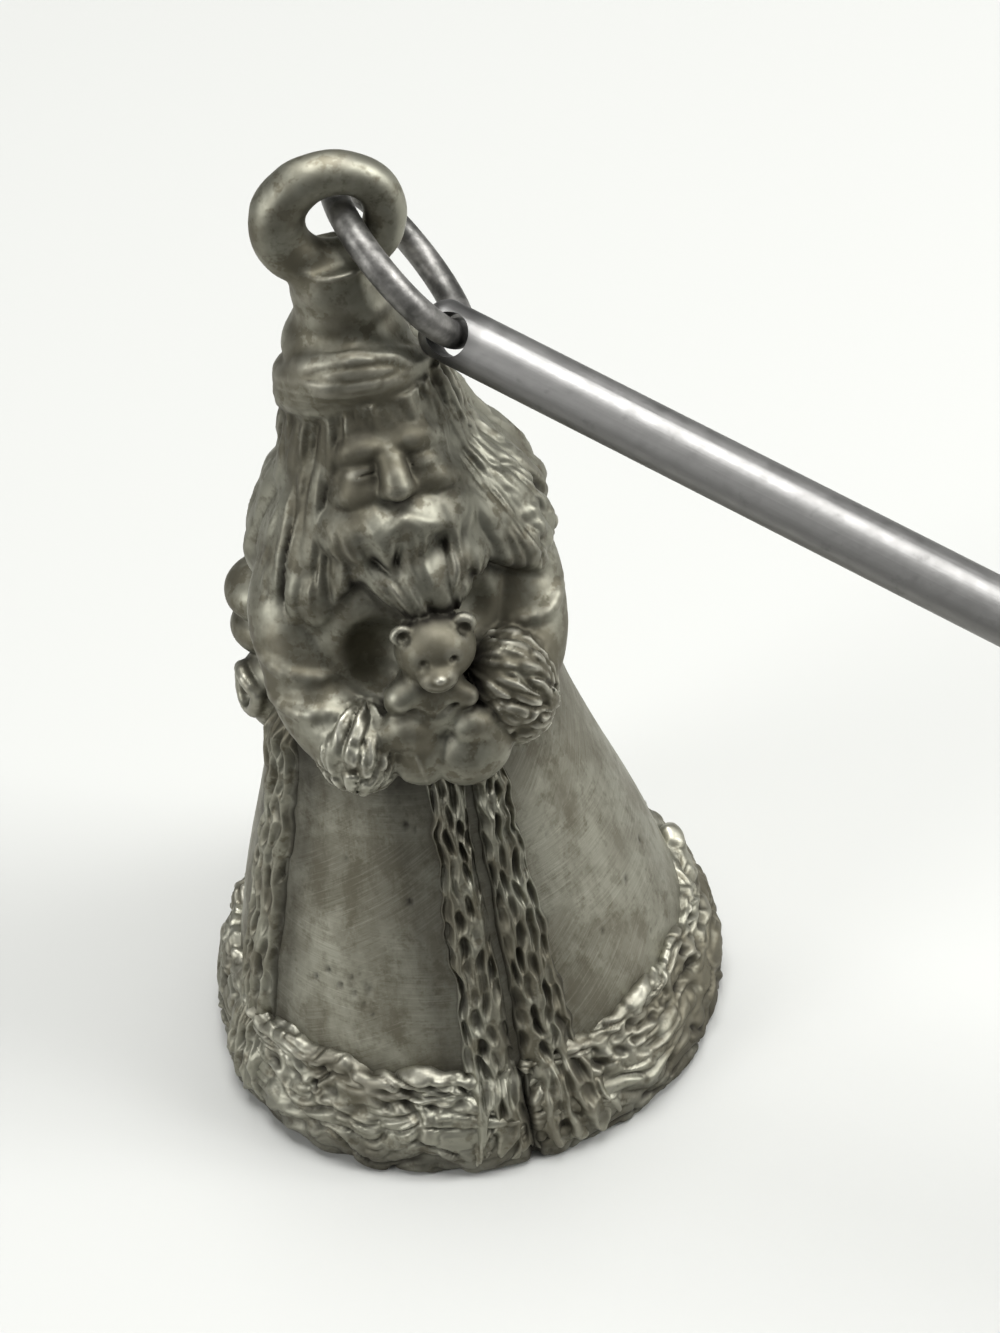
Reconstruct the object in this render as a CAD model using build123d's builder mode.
from build123d import *
import math
import os

os.makedirs("parts", exist_ok=True)

# Candle snuffer: a hollow cast-pewter figure is the bell, a wire ring joins its eye to a round rod handle.
# Front of the figure is -Y, its left hand is +X, and it stands on the table at Z = 0. Millimetres and degrees.

# Robe shell, outside radius at four heights
robe_foot_radius = 18.5
robe_knee_height = 15.0
robe_knee_radius = 14.9
robe_waist_height = 30.0
robe_waist_radius = 10.6
robe_chest_height = 43.0
robe_chest_radius = 9.6
robe_wall = 1.9
cavity_dome_rise = 8.0
cavity_shoulder_radius = 6.5

# Fur hem round the mouth
mouth_radius = 19.3
hem_height = 8.4
hem_thickness = 0.8
hem_foot_inset = 0.7
hem_bulge_height = 1.6

# Fur strips down the robe
front_strip_foot_left = -3.4
front_strip_foot_right = 5.6
front_strip_top_left = -1.3
front_strip_top_right = 3.9
front_strip_thickness = 0.8
strip_over_hem = 0.4
front_split_foot = 0.8
front_split_top = 1.6
front_split_width = 0.6
side_strip_width = 4.6
side_strip_thickness = 0.9
side_strip_angle = -74.0
strip_foot_height = 1.0
strip_top_height = 33.0

# Shoulders and long hair, radius at four heights; the upper two keep to the brim of the cap
hair_shift = 0.8
shoulder_height = 42.6
shoulder_radius = 10.1
hair_mid_share = 9 / 19
hair_mid_radius = 8.9
hair_ear_drop = 3.4
hair_ear_radius = 6.4
hair_crown_rise = 1.1
hair_crown_radius = 5.1

# Hollows of the chest between the arms
right_hollow = (-2.6, -10.8, 41.6)
right_hollow_radius = 3.5
left_hollow = (4.6, -10.2, 43.6)
left_hollow_radius = 2.9

# Head under the brim, and beard from the middle of the head
head_radius = 5.0
head_drop = 4.0
head_forward = 2.3
nose_radius = 1.0
nose_rise = 0.4
beard_top_offset = (-0.2, -2.4, -3.0)
beard_top_radius = 4.7
beard_tip_offset = (0.6, -5.6, -7.8)
beard_tip_radius = 2.8
beard_cheek_forward = 3.0
beard_cheek_drop = 3.7
beard_cheek_spread = 2.2
beard_cheek_radius = 3.5

# Cap with rolled fur brim
brim_height = 57.4
brim_ring_radius = 3.7
brim_roll_radius = 1.85
brim_lean = 24.0
brim_forward = 0.35
cap_step_rise = 4.8
cap_step_radius = 3.5
cap_neck_rise = 3.0
cap_neck_radius = 2.75

# Cast eye on the cap
eye_rise = 4.7
eye_shift = 0.24
eye_ring_radius = 3.3
eye_tube_radius = 1.5
eye_hole_right = 2.95
eye_hole_width = 4.15

# Arms, cuffs and hands, left and right of the figure itself
arm_radius = 3.1
arm_bend_radius = 4.2
left_shoulder = (7.6, -1.8, 44.0)
left_elbow = (7.6, -6.6, 37.6)
left_wrist = (4.0, -9.6, 37.2)
right_shoulder = (-6.5, -2.2, 44.0)
right_elbow = (-6.8, -6.9, 36.8)
right_wrist = (-3.2, -10.2, 35.2)
left_cuff_top = (5.6, -9.5, 37.9)
left_cuff_foot = (6.0, -9.5, 35.5)
left_cuff_radius = 3.3
right_cuff_top = (-4.7, -10.1, 35.5)
right_cuff_foot = (-5.1, -9.9, 34.5)
right_cuff_radius = 2.95
left_hand_start = (3.0, -10.5, 34.4)
left_hand_end = (1.6, -11.0, 33.2)
left_hand_radius = 2.5
right_hand_start = (-2.0, -10.6, 34.6)
right_hand_end = (-0.4, -11.0, 34.6)
right_hand_radius = 2.2

# Small toy bear held before the chest
bear_head = (1.1, -10.4, 42.4)
bear_head_radius = 2.6
bear_ear_radius = 0.95
bear_ear_spread = 1.9
bear_ear_rise = 1.7
bear_muzzle_radius = 1.2
bear_muzzle_forward = 1.9
bear_muzzle_drop = 0.9
bear_body_top = (0.5, -10.2, 40.0)
bear_body_foot = (0.2, -10.4, 37.0)
bear_body_radius = 2.4

# Sack slung at the right side
sack_upper_lobe = (-8.8, 3.8, 39.4)
sack_upper_lobe_radius = 2.6
sack_lower_lobe = (-9.0, 3.5, 36.6)
sack_lower_lobe_radius = 2.5
sack_pouch_top = (-9.2, 2.0, 33.2)
sack_pouch_foot = (-9.3, 1.6, 31.2)
sack_pouch_radius = 2.8

# Wire ring
wire_radius = 0.95
ring_radius = 6.2
ring_droop = 58.5
ring_turn = 14.5
ring_butt_gap = 0.12
eye_clearance = 0.8

# Rod handle
rod_radius = 2.0
rod_length = 190.0
rod_tip_round = 1.4
rod_hole_clearance = 0.5
rod_hole_setback = 2.2
rod_station = 44.2

# Positions that follow from the sizes above
hem_share = hem_height / robe_knee_height
hem_top_radius = robe_foot_radius + (robe_knee_radius - robe_foot_radius) * hem_share + hem_thickness
hair_crown_height = brim_height + hair_crown_rise
hair_ear_height = brim_height - hair_ear_drop
hair_mid_height = shoulder_height + (hair_ear_height - shoulder_height) * hair_mid_share
head_centre = Vector(hair_shift, -head_forward, brim_height - head_drop)
beard_top = head_centre + Vector(*beard_top_offset)
beard_tip = head_centre + Vector(*beard_tip_offset)
cheek_right = head_centre + Vector(-beard_cheek_spread, -beard_cheek_forward, -beard_cheek_drop)
cheek_left = head_centre + Vector(beard_cheek_spread, -beard_cheek_forward, -beard_cheek_drop)
cap_step_height = brim_height + cap_step_rise
cap_neck_height = cap_step_height + cap_neck_rise
eye_height = cap_neck_height + eye_rise
eye_centre = Vector(eye_shift, 0, eye_height)
ring_down = Vector(math.cos(math.radians(ring_droop)), 0, -math.sin(math.radians(ring_droop)))
ring_normal = Vector(math.sin(math.radians(ring_droop)), 0, math.cos(math.radians(ring_droop)))
front = Vector(0, -1, 0)
eye_hole_height = 2 * (wire_radius + eye_clearance)
wire_in_eye = Vector(eye_hole_right - eye_hole_height / 2, 0, eye_height)
turn = math.radians(ring_turn)
ring_centre = wire_in_eye + (ring_down * math.cos(turn) - front * math.sin(turn)) * ring_radius
ring_butt_angle = math.degrees(ring_butt_gap / ring_radius)
ring_butt_direction = front * -1
station = math.radians(rod_station)
rod_radial = ring_down * math.cos(station) + front * math.sin(station)
rod_hole_axis = front * math.cos(station) - ring_down * math.sin(station)
rod_hole = ring_centre + rod_radial * ring_radius

# The free end of the handle is a dome that rests on the table
rod_reach = rod_length - rod_hole_setback - rod_radius
rod_fall = (rod_radius - rod_hole.Z) / rod_reach
rod_plane_slope = math.hypot(rod_radial.Z, ring_normal.Z)
rod_tilt = math.asin(rod_fall / rod_plane_slope) - math.atan2(rod_radial.Z, ring_normal.Z)
rod_direction = rod_radial * math.cos(rod_tilt) + ring_normal * math.sin(rod_tilt)


def robe_points(offset):
    return [
        (robe_foot_radius + offset, 0),
        (robe_knee_radius + offset, robe_knee_height),
        (robe_waist_radius + offset, robe_waist_height),
        (robe_chest_radius + offset, robe_chest_height),
    ]


def robe_form(offset):
    with BuildPart() as form:
        with BuildSketch(Plane.XZ):
            with BuildLine():
                Spline(*robe_points(offset))
                Polyline(
                    (robe_chest_radius + offset, robe_chest_height),
                    (0, robe_chest_height),
                    (0, 0),
                    (robe_foot_radius + offset, 0),
                )
            make_face()
        revolve(axis=Axis.Z)
    return form.part


def hem_form(offset):
    widest = mouth_radius + offset
    with BuildPart() as form:
        with BuildSketch(Plane.XZ):
            with BuildLine():
                TangentArc((widest, hem_bulge_height), (widest - hem_foot_inset, 0), tangent=(0, -1))
                TangentArc((widest, hem_bulge_height), (hem_top_radius + offset, hem_height), tangent=(0, 1))
                Polyline(
                    (hem_top_radius + offset, hem_height),
                    (hem_top_radius + offset - 2 * hem_thickness, hem_height + hem_thickness),
                    (robe_knee_radius, 0),
                    (widest - hem_foot_inset, 0),
                )
            make_face()
        revolve(axis=Axis.Z)
    return form.part


def capsule(start, start_radius, end, end_radius):
    along = Vector(*end) - Vector(*start)
    lean = math.asin((start_radius - end_radius) / along.length)
    local = Plane(origin=start, z_dir=along)
    start_half = math.radians(-90) / 2 + lean / 2
    end_half = math.radians(90) / 2 + lean / 2
    with BuildPart() as form:
        with BuildSketch(Plane(origin=start, x_dir=local.x_dir, z_dir=local.y_dir * -1)):
            with BuildLine():
                ThreePointArc(
                    (0, -start_radius),
                    (start_radius * math.cos(start_half), start_radius * math.sin(start_half)),
                    (start_radius * math.cos(lean), start_radius * math.sin(lean)),
                )
                Line(
                    (start_radius * math.cos(lean), start_radius * math.sin(lean)),
                    (end_radius * math.cos(lean), along.length + end_radius * math.sin(lean)),
                )
                ThreePointArc(
                    (end_radius * math.cos(lean), along.length + end_radius * math.sin(lean)),
                    (end_radius * math.cos(end_half), along.length + end_radius * math.sin(end_half)),
                    (0, along.length + end_radius),
                )
                Line((0, along.length + end_radius), (0, -start_radius))
            make_face()
        revolve(axis=Axis(start, along))
    return form.part


def arm(shoulder, elbow, wrist):
    with BuildPart() as form:
        with BuildLine() as path:
            FilletPolyline(shoulder, elbow, wrist, radius=arm_bend_radius)
        with BuildSketch(Plane(origin=path.line @ 0, z_dir=path.line % 0)):
            Circle(arm_radius)
        sweep(path=path.line)
        with Locations(shoulder):
            Sphere(arm_radius)
    return form.part


# Robe with its fur hem and strips, solid for now
with BuildPart() as front_strip:
    add(robe_form(front_strip_thickness))
    add(hem_form(strip_over_hem))
    with BuildSketch(Plane.XZ):
        Polygon(
            (front_strip_foot_left, strip_foot_height),
            (front_strip_foot_right, strip_foot_height),
            (front_strip_top_right, strip_top_height),
            (front_strip_top_left, strip_top_height),
            align=None,
        )
        Polygon(
            (front_split_foot - front_split_width / 2, strip_foot_height),
            (front_split_foot + front_split_width / 2, strip_foot_height),
            (front_split_top + front_split_width / 2, strip_top_height),
            (front_split_top - front_split_width / 2, strip_top_height),
            align=None,
            mode=Mode.SUBTRACT,
        )
    extrude(amount=mouth_radius + strip_over_hem, mode=Mode.INTERSECT)

with BuildPart() as side_strip:
    add(robe_form(side_strip_thickness))
    add(hem_form(strip_over_hem))
    with Locations(Location((0, 0, strip_foot_height), (0, 0, side_strip_angle))):
        Box(
            side_strip_width,
            mouth_radius + strip_over_hem,
            strip_top_height - strip_foot_height,
            align=(Align.CENTER, Align.MAX, Align.MIN),
            mode=Mode.INTERSECT,
        )

# Shoulders, long hair, head and beard
with BuildPart() as hair:
    with BuildSketch(Plane(origin=(hair_shift, 0, 0), x_dir=(0, 1, 0), z_dir=(1, 0, 0))):
        with BuildLine():
            Spline(
                (shoulder_radius, shoulder_height),
                (hair_mid_radius, hair_mid_height),
                (hair_ear_radius, hair_ear_height),
                (hair_crown_radius, hair_crown_height),
            )
            Polyline(
                (hair_crown_radius, hair_crown_height),
                (0, hair_crown_height),
                (0, shoulder_height),
                (shoulder_radius, shoulder_height),
            )
        make_face()
    revolve(axis=Axis((hair_shift, 0, 0), (0, 0, 1)))

with BuildPart() as head:
    with Locations(head_centre):
        Sphere(head_radius)
    with Locations(head_centre + Vector(0, -head_radius, nose_rise)):
        Sphere(nose_radius)

with BuildPart() as beard:
    add(capsule(beard_top, beard_top_radius, beard_tip, beard_tip_radius))
    add(capsule(cheek_right, beard_cheek_radius, cheek_left, beard_cheek_radius))

# Cap with brim, neck and cast eye
with BuildPart() as cap:
    with BuildSketch(Plane.XZ):
        with BuildLine():
            Spline(
                (brim_ring_radius, brim_height),
                (cap_step_radius, cap_step_height),
                (cap_neck_radius, cap_neck_height),
                (cap_neck_radius, eye_height - eye_ring_radius),
            )
            Polyline(
                (cap_neck_radius, eye_height - eye_ring_radius),
                (0, eye_height - eye_ring_radius),
                (0, brim_height),
                (brim_ring_radius, brim_height),
            )
        make_face()
    revolve(axis=Axis.Z)
    with Locations(Location((0, -brim_forward, brim_height), (-brim_lean, 0, 0))):
        Torus(brim_ring_radius, brim_roll_radius)
    with Locations(Location(eye_centre, (90, 0, 0))):
        Torus(eye_ring_radius, eye_tube_radius)
    with BuildSketch(Plane.XZ):
        with Locations((eye_hole_right - eye_hole_width / 2, eye_height)):
            SlotOverall(eye_hole_width, eye_hole_height)
    extrude(amount=2 * eye_tube_radius, both=True, mode=Mode.SUBTRACT)

# Arms with cuffs and hands
left_arm = arm(left_shoulder, left_elbow, left_wrist)
right_arm = arm(right_shoulder, right_elbow, right_wrist)
left_cuff = capsule(left_cuff_top, left_cuff_radius, left_cuff_foot, left_cuff_radius)
right_cuff = capsule(right_cuff_top, right_cuff_radius, right_cuff_foot, right_cuff_radius)
left_hand = capsule(left_hand_start, left_hand_radius, left_hand_end, left_hand_radius)
right_hand = capsule(right_hand_start, right_hand_radius, right_hand_end, right_hand_radius)

# Toy bear
with BuildPart() as bear:
    with Locations(bear_head):
        Sphere(bear_head_radius)
    with Locations(Vector(*bear_head) + Vector(-bear_ear_spread, 0, bear_ear_rise)):
        Sphere(bear_ear_radius)
    with Locations(Vector(*bear_head) + Vector(bear_ear_spread, 0, bear_ear_rise)):
        Sphere(bear_ear_radius)
    with Locations(Vector(*bear_head) + Vector(0, -bear_muzzle_forward, -bear_muzzle_drop)):
        Sphere(bear_muzzle_radius)
    add(capsule(bear_body_top, bear_body_radius, bear_body_foot, bear_body_radius))

# Sack
with BuildPart() as sack:
    with Locations(sack_upper_lobe):
        Sphere(sack_upper_lobe_radius)
    with Locations(sack_lower_lobe):
        Sphere(sack_lower_lobe_radius)
    add(capsule(sack_pouch_top, sack_pouch_radius, sack_pouch_foot, sack_pouch_radius))

# The whole casting, hollowed from below
with BuildPart() as figure_bell:
    add(robe_form(0))
    add(hem_form(0))
    add(front_strip.part)
    add(side_strip.part)
    add(hair.part)
    with Locations(right_hollow):
        Sphere(right_hollow_radius, mode=Mode.SUBTRACT)
    with Locations(left_hollow):
        Sphere(left_hollow_radius, mode=Mode.SUBTRACT)
    add(head.part)
    add(cap.part)
    add(left_arm)
    add(right_arm)
    add(left_cuff)
    add(right_cuff)
    add(left_hand)
    add(right_hand)
    add(bear.part)
    add(beard.part)
    add(sack.part)
    with BuildSketch(Plane.XZ):
        with BuildLine():
            Spline(
                (robe_foot_radius - robe_wall, 0),
                (robe_knee_radius - robe_wall, robe_knee_height),
                (robe_waist_radius - robe_wall, robe_waist_height),
            )
            Bezier(
                (robe_waist_radius - robe_wall, robe_waist_height),
                (cavity_shoulder_radius, robe_waist_height + cavity_dome_rise),
                (0, robe_waist_height + cavity_dome_rise),
            )
            Polyline((0, robe_waist_height + cavity_dome_rise), (0, 0), (robe_foot_radius - robe_wall, 0))
        make_face()
    revolve(axis=Axis.Z, mode=Mode.SUBTRACT)

# Wire ring, its butt joint at the back
with BuildPart(Plane(origin=ring_centre, x_dir=ring_butt_direction, z_dir=ring_normal)) as link_ring:
    Torus(ring_radius, wire_radius, major_angle=360 - ring_butt_angle)

# Rod handle, turned in the plane of its axis and the cross hole
with BuildPart() as handle_rod:
    with BuildSketch(Plane(origin=rod_hole, x_dir=rod_hole_axis, z_dir=rod_hole_axis.cross(rod_direction))):
        with BuildLine():
            Polyline(
                (0, rod_length - rod_hole_setback),
                (0, -rod_hole_setback),
                (rod_radius - rod_tip_round, -rod_hole_setback),
            )
            RadiusArc(
                (rod_radius - rod_tip_round, -rod_hole_setback),
                (rod_radius, rod_tip_round - rod_hole_setback),
                -rod_tip_round,
            )
            Line((rod_radius, rod_tip_round - rod_hole_setback), (rod_radius, rod_reach))
            RadiusArc((rod_radius, rod_reach), (0, rod_reach + rod_radius), -rod_radius)
        make_face()
    revolve(axis=Axis(rod_hole, rod_direction))
    with BuildSketch(Plane(origin=rod_hole, x_dir=rod_direction, z_dir=rod_hole_axis)):
        Circle(wire_radius + rod_hole_clearance)
    extrude(amount=rod_length, both=True, mode=Mode.SUBTRACT)

figure_bell.part.label = "figure_bell"
export_step(figure_bell.part, "parts/figure_bell.step")
link_ring.part.label = "link_ring"
export_step(link_ring.part, "parts/link_ring.step")
handle_rod.part.label = "handle_rod"
export_step(handle_rod.part, "parts/handle_rod.step")
print("eye", wire_in_eye, "ring centre", ring_centre, "normal", ring_normal)
print("hole", rod_hole, "axis", rod_hole_axis, "handle", rod_direction)
